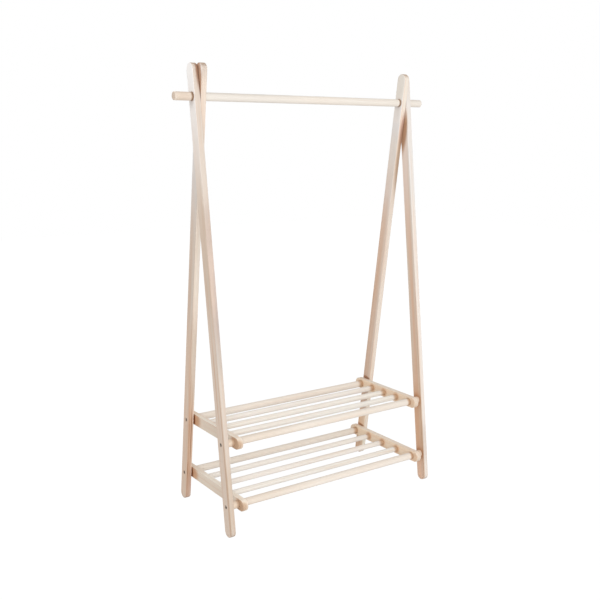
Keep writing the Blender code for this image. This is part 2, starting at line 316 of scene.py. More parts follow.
# %% A finish for wood
def wood(name, grain, centre, pith, pale, late, warm, heart=(0.0, 0.0, 0.0), late_share=0.34,
         warm_share=0.42, end_share=0.5, top_highlight=None, foot_wear=0.0, light_and_shade_marks=()):
    """Planed softwood. grain is the way its length runs, pith its place in the log.

    heart is the distance from the log's middle where the warmer heartwood starts to fade, the
    distance where it has gone, and its share. The painted highlight towards the top is the
    height where it starts, the height where it is whole, its share, its tone and the way that
    the faces look. Each mark, most of them painted shade or painted light, is a place, its
    reach in X, across and along the grain, its share, its tone, the way that the marked faces
    look, or None for all, and at times a turn about X.
    """
    material = bpy.data.materials.new(name)
    material.use_nodes = True
    g = Graph(material.node_tree)
    onto_z = Vector(grain).rotation_difference(Vector((0, 0, 1))).to_matrix()
    shift = Vector(pith) - onto_z @ Vector(centre)
    coordinates = g.node("ShaderNodeTexCoord")
    normal, placed = coordinates[1], coordinates[3]
    log = g.node("ShaderNodeMapping", {}, {"Vector": placed, "Location": shift,
                                           "Rotation": onto_z.to_euler("XYZ")})[0]

    def drawn_out(noise, detail=2.0, roughness=0.5):
        """Noise that is drawn out along the grain."""
        scale, along = noise
        return g.noise(g.scaled(log, (1, 1, along)), scale, detail, roughness)

    bent = drawn_out(log_bend, 1.0) - 0.5
    wavy = drawn_out(ring_wave) - 0.5
    x, y, z = g.node("ShaderNodeSeparateXYZ", {}, {0: log})
    x = x + bent * log_bend_reach[0]
    y = y + bent * log_bend_reach[1]
    distance = (x * x + y * y) ** 0.5
    rings = distance / ring_gap + wavy * ring_waviness
    year = rings.maths("FRACT", rings)
    late_wood = g.ramp(year, ring_late_stops)
    good_year = drawn_out(good_years, 1.0)
    fibre = drawn_out(fibres, roughness=0.6)
    streak = drawn_out(streaks, roughness=0.55)
    patch = drawn_out(patches)

    def facing(way):
        """1 where the surface looks along a way, -1 where it looks the other way."""
        return g.node("ShaderNodeVectorMath", {"operation": "DOT_PRODUCT"},
                      {0: normal, 1: Vector(way).normalized()})[1]

    end_grain = g.smooth(abs(facing(grain)), *end_limits)
    warmth = g.smooth(streak, *streak_limits) * warm_share
    warmth = warmth + g.smooth(patch, *patch_limits) * patch_share
    heart_start, heart_end, heart_share = heart
    if heart_share:
        ragged = distance + wavy * heart_raggedness
        outside_heart = g.smooth(ragged, heart_start, heart_end)
        warmth = warmth + (1 - outside_heart) * heart_share
    colour = g.mix(warmth, pale, warm)
    lateness = late_wood * (poor_year + good_year) * late_share
    colour = g.mix(lateness * (1 + end_grain * end_late_gain), colour, late)
    light = 1 - fibre_contrast / 2 + fibre * fibre_contrast
    light = light * (1.0 - end_grain * end_darkening * end_share)
    _, _, height = g.node("ShaderNodeSeparateXYZ", {}, {0: placed})
    if foot_wear:
        scuff = g.noise(placed, scuff_scale, 3.0, 0.6)
        low = 1 - g.smooth(height, 0.001, scuff_height)
        light = light * (1 - low * g.smooth(scuff, *scuff_limits) * foot_wear)
    grey = g.node("ShaderNodeCombineXYZ", {}, {0: light, 1: light, 2: light})[0]
    colour = g.mix(1.0, colour, grey, "MULTIPLY")
    colour = g.mix(end_grain * end_share * end_late_share, colour, late)
    # A painted highlight: the faces that look one way grow paler towards the top.
    if top_highlight:
        start, end, share, tone, way = top_highlight
        highlighted = g.smooth(height, start, end) * g.smooth(facing(way), *facing_limits) * share
        colour = g.mix(highlighted, colour, tone)
    # Each mark multiplies the colour. Most are painted shade or painted light.
    for place, reach, share, tone, way, *turn in light_and_shade_marks:
        away = g.node("ShaderNodeMapping", {"vector_type": "TEXTURE"}, {
            "Vector": log, "Location": onto_z @ Vector(place) + shift,
            "Rotation": (sum(turn), 0, 0), "Scale": reach})[0]
        apart = g.node("ShaderNodeVectorMath", {"operation": "LENGTH"}, {0: away})[1]
        mask = (1 - g.smooth(apart + wavy * mark_raggedness, mark_core, 1.0)) * share
        if way:
            mask = mask * g.smooth(facing(way), *facing_limits)
        colour = g.mix(mask, colour, tone, "MULTIPLY")

    # Late wood stands a little higher than the soft wood between, and is a little smoother.
    bump = g.node("ShaderNodeBump", {}, {"Strength": grain_strength, "Distance": grain_depth,
                                         "Height": fibre * 0.7 + late_wood * 0.5})[0]
    roughness = planed_roughness + fibre * 0.16 - late_wood * 0.05
    shader = g.node("ShaderNodeBsdfPrincipled", {}, {
        "Base Color": colour, "Roughness": roughness, "Normal": bump,
        "Specular IOR Level": wood_gloss})[0]
    g.node("ShaderNodeOutputMaterial", {}, {"Surface": shader})
    return material


late_colour = (0.56, 0.36, 0.225)
warm_colour = (0.74, 0.49, 0.345)
# Painted shade: deep in the gap round the rail, and round the housings where the bars meet the
# shelf sides.
crevice_shade = (0.50, 0.34, 0.24)
housing_shade = (0.82, 0.62, 0.47)
print("late wood:", late_colour, "warm wood:", warm_colour)

# %% [markdown]
# ## Hand tools
# Every piece starts as a cube or a cylinder and is then worked in edit mode. Operators act
# on what is selected, so a few helpers select edges and faces by where they are, the way
# one would click them by hand.

# %% Helpers for modelling
tiny = 0.00001


def only(item):
    """Makes one object the only selected one, and the active one."""
    bpy.ops.object.select_all(action="DESELECT")
    item.select_set(True)
    bpy.context.view_layer.objects.active = item


def pick(kind, test):
    """In edit mode, selects the edges or faces that pass a test, and nothing else."""
    bpy.ops.mesh.select_mode(type={"edges": "EDGE", "faces": "FACE"}[kind])
    bpy.ops.mesh.select_all(action="DESELECT")
    mesh = bpy.context.object.data
    shape = bmesh.from_edit_mesh(mesh)
    chosen = [item for item in getattr(shape, kind) if test(item)]
    for item in chosen:
        item.select_set(True)
    bmesh.update_edit_mesh(mesh)
    return len(chosen)


def edit(item):
    """Opens an object for work on its edges and faces."""
    only(item)
    bpy.ops.object.mode_set(mode="EDIT")


def leave_edit():
    """Closes it again, so that its modifiers and its place can be worked on."""
    bpy.ops.object.mode_set(mode="OBJECT")


def apply_place(item):
    """Puts the object's place, turn and size into its mesh."""
    only(item)
    bpy.ops.object.transform_apply(location=True, rotation=True, scale=True)


def apply_modifier(item, kind, **settings):
    """Adds a modifier and makes what it does part of the mesh."""
    only(item)
    modifier = item.modifiers.new(kind.lower(), kind)
    for key, value in settings.items():
        setattr(modifier, key, value)
    bpy.ops.object.modifier_apply(modifier=modifier.name)


print(f"edges are matched to {tiny * 1000:.2f} mm")

# %% [markdown]
# ## Handing a piece over
# A finished piece is shaded smooth, apart from its sharp edges, and weighted normals keep
# the wide faces flat beside their narrow eased edges. Then it gets its finish, rides on a
# body and stands for its CAD node. The distance between the two boxes shows that it fits.

# %% Handing a piece over
sharpest_smooth_angle = math.radians(35)


def finish_piece(item, node, body, material):
    """Smooths a piece, gives it its finish and lets it stand for its CAD node."""
    only(item)
    bpy.ops.object.shade_smooth_by_angle(angle=sharpest_smooth_angle)
    apply_modifier(item, "WEIGHTED_NORMAL", keep_sharp=True, weight=100)
    item.data.materials.clear()
    item.data.materials.append(material)
    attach(item, body)
    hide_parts(node)
    low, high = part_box(node)
    corners = [Vector(v) for v in item.bound_box]
    off = [min(c[i] for c in corners) - low[i] for i in range(3)]
    off += [max(c[i] for c in corners) - high[i] for i in range(3)]
    furthest = max(abs(v) for v in off) * 1000
    print(f"{item.name}: {len(item.data.polygons)} faces, {furthest:.2f} mm from its CAD box")


print(f"faces blend into each other below {math.degrees(sharpest_smooth_angle):.0f} degrees")

# %% [markdown]
# ## Flat stock
# Legs and shelf sides are sawn from one planed stock, 40 by 20 mm. The ends are cut to a
# full round and all edges eased. The outline could be drawn as a curve and given a
# thickness, but a block needs only two bevels: one of half the width on the four edges that
# run through its thickness, for the round ends, and a small one round both outlines.

# %% Round-ended bars of flat stock
stock_width = 0.040
stock_thickness = 0.020
stock_edge_radius = 0.0025
round_end_segments = 18
edge_segments = 5


def flat_bar(name, down, up):
    """A bar along Z, from -down to up, thick in X and wide in Y."""
    bpy.ops.object.select_all(action="DESELECT")
    bpy.ops.mesh.primitive_cube_add(size=1, location=(0, 0, (up - down) / 2),
                                    scale=(stock_thickness, stock_width, up + down))
    bar = bpy.context.object
    bar.name = bar.data.name = name
    apply_place(bar)
    edit(bar)
    pick("edges", lambda e: abs(e.verts[0].co.x - e.verts[1].co.x) > stock_thickness / 2)
    bpy.ops.mesh.bevel(offset=stock_width / 2, segments=round_end_segments, affect="EDGES")
    bpy.ops.mesh.select_all(action="SELECT")
    bpy.ops.mesh.remove_doubles(threshold=tiny)
    half = stock_thickness / 2
    pick("edges", lambda e: all(abs(abs(v.co.x) - half) < tiny for v in e.verts)
         and e.verts[0].co.x * e.verts[1].co.x > 0)
    bpy.ops.mesh.bevel(offset=stock_edge_radius, segments=edge_segments, affect="EDGES")
    leave_edit()
    return bar


print(f"stock {stock_width * 1000:.0f} x {stock_thickness * 1000:.0f} mm")

# %% [markdown]
# ## Drilling
# A bore is cut with a cylinder, as a drill would cut it: the Boolean modifier takes the
# cylinder's shape out of the bar. The bit starts a little outside the wood, because two
# faces in one plane confuse the modifier. A cut rim is sharp, so where it shows it is eased.

# %% Drilling
drill_overshoot = 0.003
round_sides = 64


def drill(bar, radius, place, start, end, ease=0.0):
    """Drills along X from start to end, round a point (y, z), and eases the rims."""
    bpy.ops.object.select_all(action="DESELECT")
    middle = ((start + end) / 2, *place)
    bpy.ops.mesh.primitive_cylinder_add(vertices=round_sides, radius=radius, depth=abs(end - start),
                                        location=middle, rotation=(0, math.pi / 2, 0))
    bit = bpy.context.object
    apply_place(bit)
    apply_modifier(bar, "BOOLEAN", operation="DIFFERENCE", solver="EXACT", object=bit)
    bpy.data.objects.remove(bit, do_unlink=True)
    if not ease:
        return
    low = min(v.co.x for v in bar.data.vertices)
    high = max(v.co.x for v in bar.data.vertices)

    def on_rim(vertex):
        off = math.hypot(vertex.co.y - place[0], vertex.co.z - place[1])
        depth = min(vertex.co.x - low, high - vertex.co.x)
        return abs(off - radius) < radius * 0.01 and depth < tiny

    edit(bar)
    count = pick("edges", lambda e: all(on_rim(v) for v in e.verts)
                 and abs(e.verts[0].co.x - e.verts[1].co.x) < tiny)
    bpy.ops.mesh.bevel(offset=ease, segments=2, affect="EDGES")
    leave_edit()
    print(f"  {bar.name}: bore of {radius * 2000:.1f} mm, {count} rim edges eased")


print(f"a bit starts {drill_overshoot * 1000:.0f} mm outside the wood")

# %% [markdown]
# ## Sizes that all pieces share
# The legs lean so that their centre lines meet at the rail, and every bolt sits where a
# leg's centre line passes a shelf. Each place could be read from a CAD box, but a box says
# nothing about a lean. So the rail's height, the reach of the feet and the two shelf
# heights place nearly everything. The rail's height comes from its CAD box, and the others
# are the sizes that the CAD model was drawn with.

# %% Sizes that all pieces share
rail_low, rail_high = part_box("hanging_rail")
rail_height = (rail_low.z + rail_high.z) / 2
rail_radius = (rail_high.z - rail_low.z) / 2
foot_reach = 0.183
bolt_bore_radius = 0.0034
shelf_heights = {"upper": 0.3125, "lower": 0.1035}
lean = math.atan2(foot_reach, rail_height)
sides = {"left": -1, "right": 1}
rows = {"front": -1, "back": 1}


def leg_offset(height):
    """Distance of a leg's centre line from the middle of the rack at a height."""
    return foot_reach * (1 - height / rail_height)


def outer_and_inner(node, sign):
    """X of the face of a left (-1) or right (1) piece that looks outwards, and of its other."""
    low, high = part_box(node)
    return (low.x, high.x) if sign < 0 else (high.x, low.x)


print(f"the legs lean {math.degrees(lean):.2f} degrees")

# %% [markdown]
# ## Wood for the legs
# The four legs come from different boards. One finish for all would look like one board cut
# in four, so each leg has its own place in the log and its own base colour, and three of
# them show some heartwood. Towards the top a painted highlight makes the faces that look
# left almost white.

# %% Wood for the legs
left_way = (-1, 0, 0)
front_way = (0, -1, 0)

# The height where the painted highlight starts and where it is whole, its share, its tone, its way.
leg_top_highlight = {
    "front_left": (1.02, 1.46, 0.85, (0.81, 0.79, 0.775), left_way),
    "front_right": (0.85, 1.22, 0.45, (0.83, 0.80, 0.775), left_way),
    "back_left": (0.92, 1.30, 0.85, (0.83, 0.80, 0.775), left_way),
    "back_right": (0.92, 1.25, 0.85, (0.82, 0.79, 0.76), left_way),
}
leg_wood = {
    "front_left": {"pith": (0.030, 0.021, 0.3), "pale": (0.78, 0.652, 0.548)},
    "front_right": {"pith": (0.034, -0.018, 1.9), "pale": (0.84, 0.775, 0.71),
                    "heart": (0.030, 0.044, 0.85)},
    "back_left": {"pith": (0.026, -0.030, 3.1), "pale": (0.845, 0.72, 0.605),
                  "heart": (0.028, 0.050, 0.40)},
    "back_right": {"pith": (0.036, -0.014, 4.7), "pale": (0.84, 0.73, 0.625),
                   "heart": (0.030, 0.046, 0.70)},
}
print("boards for:", ", ".join(leg_wood))

# %% [markdown]
# ## Marks on the legs
# No board has one colour from end to end, but most of these marks are painted shade or
# painted light. Painted shade darkens the gap round the rail, the notch between two crossed
# legs, the places where the shelf sides meet the legs, the eased edges and some whole faces.
# Painted light, with a tone above 1, lifts a face. The rest darken or lighten a stretch of a
# face. The marks could be painted on an unwrapped mesh, but a spot in space needs only a
# place, a size and a tone. Each row below is one mark: its height on the leg's centre line,
# how far it lies from there in Y and from the leg's left face in X, its reach, its share,
# its tone, the way that the marked faces look, and at times a turn. A tone below 1 darkens
# and one above 1 lightens. The turned marks are the brown shade deep in the notch between two
# crossed legs, which follows the other leg's edge.

# %% Marks on the legs
wide = 9                    # metres, so that a mark takes in the whole piece in that direction
whole_face = (wide, wide, wide)


def band(along):
    """The reach of a mark that goes right across a piece and fades along it."""
    return (wide, wide, along)


skin = 0.006                # deep enough to colour one face and its eased edge
# Painted shade for the eased edges, which turn away from the light.
eased_edge_shade = (0.78, 0.67, 0.585)
# Painted shade in the gap round the rail, where it passes through a leg.
bore_shade_ring = (rail_height, -0.004, 0, (0.004, 0.0180, 0.0175), 1.0, crevice_shade, left_way)
leg_light_and_shade = {
    "front_left": [
        bore_shade_ring,
        # Painted shade: brown deep in the notch, on the front face above the crossing.
        (1.500, -0.020, 0.020, (0.014, 0.020, 0.100), 1.0, (0.50, 0.32, 0.23), front_way),
        (0.500, 0.000, 0.000, (0.005, 0.004, 0.240), 0.9, (0.88, 0.74, 0.64), left_way),
        (0.920, 0.000, 0.000, band(0.300), 1.0, (0.92, 0.90, 0.87), left_way),
        (0.120, 0.000, 0.000, band(0.160), 1.0, (0.94, 0.90, 0.85), front_way),
        (0.640, 0.000, 0.000, band(0.150), 1.0, (0.86, 0.88, 0.90), front_way),
        (1.010, 0.000, 0.000, band(0.110), 1.0, (0.91, 0.92, 0.93), front_way),
        (0.860, 0.000, 0.000, band(0.300), 1.0, (0.95, 0.87, 0.845), front_way),
        (0.760, 0.000, 0.0155, (0.0065, wide, 0.160), 1.0, (0.90, 0.91, 0.94), front_way),
        # Painted shade along the eased edge, and over the whole face that looks forward.
        (0.200, -0.0187, 0.0004, (0.0052, 0.0052, 0.600), 1.0, eased_edge_shade, None),
        (0.750, 0.000, 0.000, whole_face, 1.0, (0.89, 0.94, 0.98), front_way)],
    "back_left": [
        # Painted shade: brown deep in the notch above the crossing, along the eased edge and over
        # the whole face that looks forward.
        (1.465, -0.004, 0.000, (wide, 0.026, 0.110), 1.0, (0.50, 0.32, 0.22), left_way, -2 * lean),
        (0.800, -0.0187, 0.0004, (0.0052, 0.0052, 0.500), 0.4, eased_edge_shade, None),
        (0.750, 0.000, 0.000, whole_face, 1.0, (0.925, 0.925, 0.935), front_way),
        # Painted shade low on the leg, where the shelves and the front leg keep the light off: a
        # broad patch on two faces and narrow strips on the front face.
        (0.200, -0.020, 0.000, (0.026, 0.022, 0.360), 0.95, (0.81, 0.645, 0.53), front_way),
        (0.200, -0.020, 0.000, (0.026, 0.022, 0.360), 0.95, (0.91, 0.83, 0.77), left_way),
        (0.270, -0.020, 0.0115, (0.0026, 0.012, 0.200), 1.0, (0.60, 0.41, 0.31), front_way),
        (0.230, -0.020, 0.0040, (0.0016, 0.012, 0.150), 0.7, (0.75, 0.60, 0.50), front_way),
        (0.125, -0.020, 0.0035, (0.0034, 0.012, 0.050), 1.0, (0.72, 0.60, 0.54), front_way),
        (0.050, -0.020, 0.0195, (0.0042, 0.012, 0.045), 1.0, (0.80, 0.66, 0.62), front_way),
        (0.550, -0.012, 0.000, (wide, 0.014, 0.190), 1.0, (0.96, 0.87, 0.81), left_way),
        (0.030, 0.000, 0.000, band(0.120), 1.0, (0.92, 0.86, 0.86), front_way),
        (0.530, 0.000, 0.000, band(0.220), 1.0, (0.84, 0.83, 0.81), front_way),
        (1.505, 0.000, 0.000, band(0.060), 1.0, (0.86, 0.87, 0.89), front_way),
        (0.950, 0.000, 0.000, band(0.450), 1.0, (0.90, 0.93, 0.96), left_way),
        # Painted light: the face that looks forward is lifted about its middle.
        (0.970, 0.000, 0.000, band(0.350), 1.0, (1.04, 1.10, 1.13), front_way)],
    "front_right": [
        # Painted shade: brown deep in the notch below the crossing.
        (1.300, 0.001, 0.000, (wide, 0.021, 0.110), 1.0, (0.57, 0.40, 0.275), left_way, 2 * lean),
        (0.220, 0.000, 0.000, band(0.200), 1.0, (0.99, 0.91, 0.82), left_way),
        (0.060, -0.013, 0.000, (wide, 0.011, 0.260), 1.0, (0.87, 0.76, 0.67), left_way),
        (0.420, -0.013, 0.000, (wide, 0.011, 0.350), 1.0, (0.96, 0.89, 0.82), left_way),
        (0.900, -0.013, 0.000, (wide, 0.011, 0.550), 1.0, (0.93, 0.89, 0.85), left_way),
        # Painted light on the back part of the left face.
        (0.700, 0.016, 0.000, (wide, 0.016, 0.420), 1.0, (0.98, 1.14, 1.26), left_way),
        # Painted shade where the shelf sides meet the leg.
        (0.3125, 0.000, 0.000, (skin, 0.034, 0.034), 0.9, (0.82, 0.65, 0.52), left_way),
        (0.1035, 0.000, 0.000, (skin, 0.034, 0.034), 0.9, (0.82, 0.65, 0.52), left_way),
        (0.150, 0.000, 0.000, band(0.100), 1.0, (0.90, 0.87, 0.855), front_way),
        # Painted light low on the left face.
        (0.035, 0.000, 0.000, band(0.075), 1.0, (1.14, 1.14, 1.15), left_way),
        (1.250, 0.000, 0.000, band(0.300), 1.0, (0.97, 1.01, 1.05), front_way),
        # Painted shade along the eased edge, and over the whole left face.
        (0.200, -0.0187, 0.0004, (0.0052, 0.0052, 0.800), 1.0, eased_edge_shade, None),
        (0.750, 0.000, 0.000, whole_face, 1.0, (0.94, 0.94, 0.94), left_way)],
    "back_right": [
        bore_shade_ring,
        (1.480, 0.000, 0.000, band(0.100), 1.0, (0.92, 0.90, 0.84), left_way),
        (1.200, 0.000, 0.000, band(0.140), 1.0, (0.98, 0.93, 0.87), left_way),
        # Painted light where the rail's shadow falls.
        (1.362, 0.000, 0.000, band(0.040), 1.0, (1.08, 1.06, 1.03), left_way),
        # Painted shade on the front face beside the notch below the crossing.
        (1.210, -0.020, 0.018, (0.021, 0.020, 0.190), 1.0, (0.62, 0.52, 0.43), front_way),
        (1.310, -0.020, 0.018, (0.021, 0.020, 0.080), 1.0, (0.86, 0.70, 0.67), front_way),
        # Painted shade on the left face just above each shelf side.
        (0.335, 0.000, 0.000, (skin, 0.030, 0.010), 1.0, (0.60, 0.42, 0.32), left_way),
        (0.124, 0.000, 0.000, (skin, 0.030, 0.008), 1.0, (0.66, 0.48, 0.37), left_way),
        # Painted light low on the left face.
        (0.150, 0.000, 0.000, band(0.060), 1.0, (1.20, 1.17, 1.06), left_way),
        (0.045, 0.000, 0.000, band(0.080), 1.0, (1.15, 1.10, 1.01), left_way),
        (0.150, 0.000, 0.000, band(0.080), 1.0, (0.955, 0.93, 0.945), front_way),
        # Painted light at the foot of the front face.
        (0.030, 0.000, 0.000, band(0.080), 1.0, (1.05, 1.08, 1.09), front_way),
        # Painted shade over the whole left face.
        (0.750, 0.000, 0.000, whole_face, 1.0, (0.93, 0.94, 0.96), left_way),
        # Painted light on the front face.
        (1.470, 0.000, 0.000, band(0.140), 1.0, (1.03, 1.09, 1.13), front_way),
        (0.800, 0.000, 0.000, band(0.500), 1.0, (1.01, 1.04, 1.07), front_way),
        (0.050, 0.000, 0.000, band(0.300), 1.0, (1.10, 1.17, 1.17), front_way)],
}
print("marks:", {leg: len(marks) for leg, marks in leg_light_and_shade.items()})

# %% [markdown]
# ## Legs
# The legs of a pair cross at the rail and lean the same amount each way. The front pair is
# outside. Each leg has a bore for the rail and two stepped bores that sink the bolt heads.
# A leg could be modelled where it stands, but an upright block's edges are far easier to
# pick by their place, so it is made upright and then leaned. A bisect along the floor trims
# its foot flat.

# %% Legs
leg_top_reach = 0.100
foot_flat_depth = 0.0005
rail_clearance = 0.0006
rail_bore_ease = 0.0005
recess_radius = 0.0065
recess_depth = 0.006
recess_ease = 0.0004
leg_down = (rail_height - stock_width / 2 + foot_flat_depth) / math.cos(lean) + stock_width / 2

for row, y_sign in rows.items():
    for side, sign in sides.items():
        node = f"{row}_{side}_leg"
        low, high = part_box(node)
        outer_x, inner_x = outer_and_inner(node, sign)
        leg = flat_bar("planed_" + node, leg_down, leg_top_reach)
        leg.rotation_euler = (y_sign * lean, 0, 0)
        leg.location = ((low.x + high.x) / 2, 0, rail_height)
        apply_place(leg)
        edit(leg)
        bpy.ops.mesh.select_all(action="SELECT")
        bpy.ops.mesh.bisect(plane_co=(0, 0, 0), plane_no=(0, 0, 1), use_fill=True,
                            clear_inner=True)
        leave_edit()
        outside = outer_x + sign * drill_overshoot
        inside = inner_x - sign * drill_overshoot
        drill(leg, rail_radius + rail_clearance, (0, rail_height), outside, inside, rail_bore_ease)
        for height in shelf_heights.values():
            spot = (y_sign * leg_offset(height), height)
            drill(leg, bolt_bore_radius, spot, outside, inside)
            drill(leg, recess_radius, spot, outside, outer_x - sign * recess_depth, recess_ease)
        up = Vector((0, y_sign * -math.sin(lean), math.cos(lean)))
        crossing = ((low.x + high.x) / 2, 0, rail_height)
        # Painted shade and light: each mark is moved to where it falls on this leg.
        light_and_shade_marks = []
        for height, along_y, at_x, reach, share, tone, way, *turn in leg_light_and_shade[f"{row}_{side}"]:
            place = (low.x + at_x, y_sign * leg_offset(height) + along_y, height)
            light_and_shade_marks.append((place, reach, share, tone, way, *turn))
        finish = wood(f"{node}_wood", up, crossing, late=late_colour, warm=warm_colour,
                      top_highlight=leg_top_highlight[f"{row}_{side}"], foot_wear=0.22, end_share=0.9,
                      light_and_shade_marks=light_and_shade_marks, **leg_wood[f"{row}_{side}"])
        finish_piece(leg, node, "frame", finish)

# %% [markdown]
# ## Marks on the shelf sides
# Painted shade darkens these boards where the legs and spacers keep the light off them, and
# round each housing, where the bars meet them. Painted light makes their tops paler than their
# faces and lifts parts of the faces that look left. The places follow the shelf's own reach,
# so one function works them out for all four boards. The left-hand boards show their outer
# faces and the right-hand ones their inner faces.

# %% Marks on the shelf sides
side_end_margin = 0.036
top_way = (0, 0, 1)


def side_light_and_shade(shelf, side, outer_x, inner_x):
    """The painted light and shade on one shelf side.

    Each row is X, Y and the height above the board's middle, the reach, the tone and the way.
    """
    height = shelf_heights[shelf]
    reach = leg_offset(height)
    sign = sides[side]
    outwards, inwards = (sign, 0, 0), (-sign, 0, 0)
    marks = [
        # Painted shade on the outer face near the front end and, darkest, in the narrow gap by the
        # back leg; painted shade on the top by the back leg.
        (outer_x, -reach - 0.018, 0, (skin, 0.040, 0.042), (0.685, 0.56, 0.46), outwards),
        (outer_x, reach - 0.024, 0, (skin, 0.040, 0.050), (0.80, 0.57, 0.42), outwards),
        (outer_x, reach - 0.010, 0, (skin, 0.040, 0.018), (0.43, 0.20, 0.08), outwards),
        (outer_x, reach, 0, (0.060, 0.060, 0.050), (0.97, 0.92, 0.87), top_way)]
    if (shelf, side) == ("lower", "left"):
        marks.append((outer_x, reach * 0.8, 0, band(0.085), (0.90, 0.87, 0.86), top_way))
    if side == "left":
        front_end = -(reach + side_end_margin)
        marks += [
            # Painted light above the spacer and on the top; painted shade on the front end.
            (outer_x, -reach + 0.020, 0.014, (skin, 0.018, 0.022), (1.08, 1.17, 1.24), outwards),
            (outer_x, 0, 0, whole_face, (1.10, 1.15, 1.19), top_way),
            (outer_x, -0.040, 0, band(0.170), (1.04, 1.08, 1.11), top_way),
            (outer_x, front_end, 0, (0.022, 0.030, 0.060), (0.76, 0.63, 0.53), front_way)]
    else:
        marks += [
            # Painted light on the inner face and the top; painted shade on both near the front end.
            (inner_x, 0, 0, whole_face, (1.10, 1.06, 1.00), left_way),
            (inner_x, reach * 0.75, 0, band(0.070), (1.04, 1.05, 1.04), left_way),
            (inner_x, -reach - 0.024, 0, (skin, 0.030, 0.022), (0.85, 0.78, 0.73), left_way),
            (inner_x, 0, 0, whole_face, (1.06, 1.09, 1.13), top_way),
            (inner_x, -reach, 0, band(0.080), (0.97, 0.94, 0.92), top_way)]
    # Painted shade round each housing, where the bars meet the board.
    for share in (-0.5, 0.0, 0.5, 1.0):
        marks.append((inner_x, reach * share, 0, (skin, 0.022, 0.022), housing_shade, inwards))
    marks.append((inner_x, -reach, 0, (skin, 0.0195, 0.0195), (0.62, 0.46, 0.34), inwards))
    return [((x, y, height + up), size, 1.0, tone, way) for x, y, up, size, tone, way in marks]


print(f"a shelf side ends {side_end_margin * 1000:.0f} mm past its bolts")

# %% [markdown]
# ## Shelf sides
# The same stock, made upright like a leg and laid down along Y. On the inside five round
# housings take the ends of the bars, and the outer two go on as narrow bores for the bolts.
# The wide face has no circles that could be pushed in, so they are drilled.

# %% Shelf sides
thick_radius = 0.013
thin_radius = 0.010
housing_depth = 0.0083
housing_clearance = 0.0003
housing_ease = 0.0003
thin_place_shares = {"front_thin": -0.5, "middle_thin": 0.0, "back_thin": 0.5}
side_wood = {
    "upper_left": {"pith": (0.020, 0.034, 6.0), "pale": (0.85, 0.735, 0.61)},
    "upper_right": {"pith": (0.024, -0.031, 7.3), "pale": (0.85, 0.735, 0.61)},
    "lower_left": {"pith": (-0.028, 0.026, 8.8), "pale": (0.88, 0.775, 0.65)},
    "lower_right": {"pith": (-0.019, -0.037, 10.1), "pale": (0.87, 0.75, 0.62)},
}

for shelf, height in shelf_heights.items():
    reach = leg_offset(height)
    half_length = reach + side_end_margin
    for side, sign in sides.items():
        node = f"{shelf}_shelf_{side}_side"
        low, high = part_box(node)
        outer_x, inner_x = outer_and_inner(node, sign)
        board = flat_bar("planed_" + node, half_length, half_length)
        edit(board)
        bpy.ops.mesh.select_all(action="SELECT")
        bpy.ops.transform.rotate(value=math.pi / 2, orient_axis="X", center_override=(0, 0, 0))
        leave_edit()
        board.location = ((low.x + high.x) / 2, 0, height)
        apply_place(board)
        outside = outer_x + sign * drill_overshoot
        inside = inner_x - sign * drill_overshoot
        housing_end = inner_x + sign * housing_depth
        for y_sign in rows.values():
            spot = (y_sign * reach, height)
            drill(board, bolt_bore_radius, spot, outside, inside)
            drill(board, thick_radius + housing_clearance, spot, inside, housing_end, housing_ease)
        for share in thin_place_shares.values():
            spot = (share * reach, height)
            drill(board, thin_radius + housing_clearance, spot, inside, housing_end, housing_ease)
        finish = wood(f"{node}_wood", (0, 1, 0), ((low.x + high.x) / 2, 0, height),
                      late=late_colour, warm=warm_colour, end_share=0.15,
                      light_and_shade_marks=side_light_and_shade(shelf, side, outer_x, inner_x),
                      **side_wood[f"{shelf}_{side}"])
        finish_piece(board, node, "frame", finish)

# %% [markdown]
# ## Round bars
# The rail and the shelf bars are turned. A cylinder has sharp rims, so the rims are picked
# and bevelled. The thick bars are bored at both ends for the threaded inserts. The drill
# from above would do that too, but on a round end it is enough to inset the face and push
# it inwards.

# %% A round bar
def is_end(face):
    """Only the end faces of a round bar or a bolt have more than eight corners."""
    return len(face.verts) > 8


def round_bar(name, radius, start, end, place, ease, segments, socket=None):
    """A round bar along X from start to end, round a point (y, z).

    A socket is the radius and depth of a bore in both ends.
    """
    bpy.ops.object.select_all(action="DESELECT")
    bpy.ops.mesh.primitive_cylinder_add(vertices=round_sides, radius=radius, depth=end - start,
                                        location=((start + end) / 2, *place),
                                        rotation=(0, math.pi / 2, 0))
    bar = bpy.context.object
    bar.name = bar.data.name = name
    apply_place(bar)
    edit(bar)
    pick("edges", lambda e: abs(e.verts[0].co.x - e.verts[1].co.x) < tiny)
    bpy.ops.mesh.bevel(offset=ease, segments=segments, affect="EDGES")
    if socket:
        socket_radius, socket_depth = socket
        for face_x, inwards in ((start, 1), (end, -1)):
            pick("faces", lambda f: is_end(f) and abs(f.calc_center_median().x - face_x) < tiny)
            bpy.ops.mesh.inset(thickness=radius - ease - socket_radius)
            bpy.ops.mesh.extrude_region_move(
                TRANSFORM_OT_translate={"value": (inwards * socket_depth, 0, 0)})
    leave_edit()
    return bar


bar_mark_reach = 0.04


def bar_mark(x, place, along, tone, share=1.0):
    """A mark that goes all round a bar, at x on its axis (y, z)."""
    return ((x, *place), (bar_mark_reach, bar_mark_reach, along), share, tone, None)


print(f"a bar has {round_sides} sides")

# %% [markdown]
# ## The hanging rail
# The rail passes loosely through all four legs and can turn. Painted shade darkens it where
# it goes into the outer left leg and where it comes out of the inner right leg. Those marks
# could sit on the shaded side alone, but they go all round it, so they stay in place as it
# turns.

# %% The hanging rail
rail_ease = 0.0025
rail_axis = (0, rail_height)
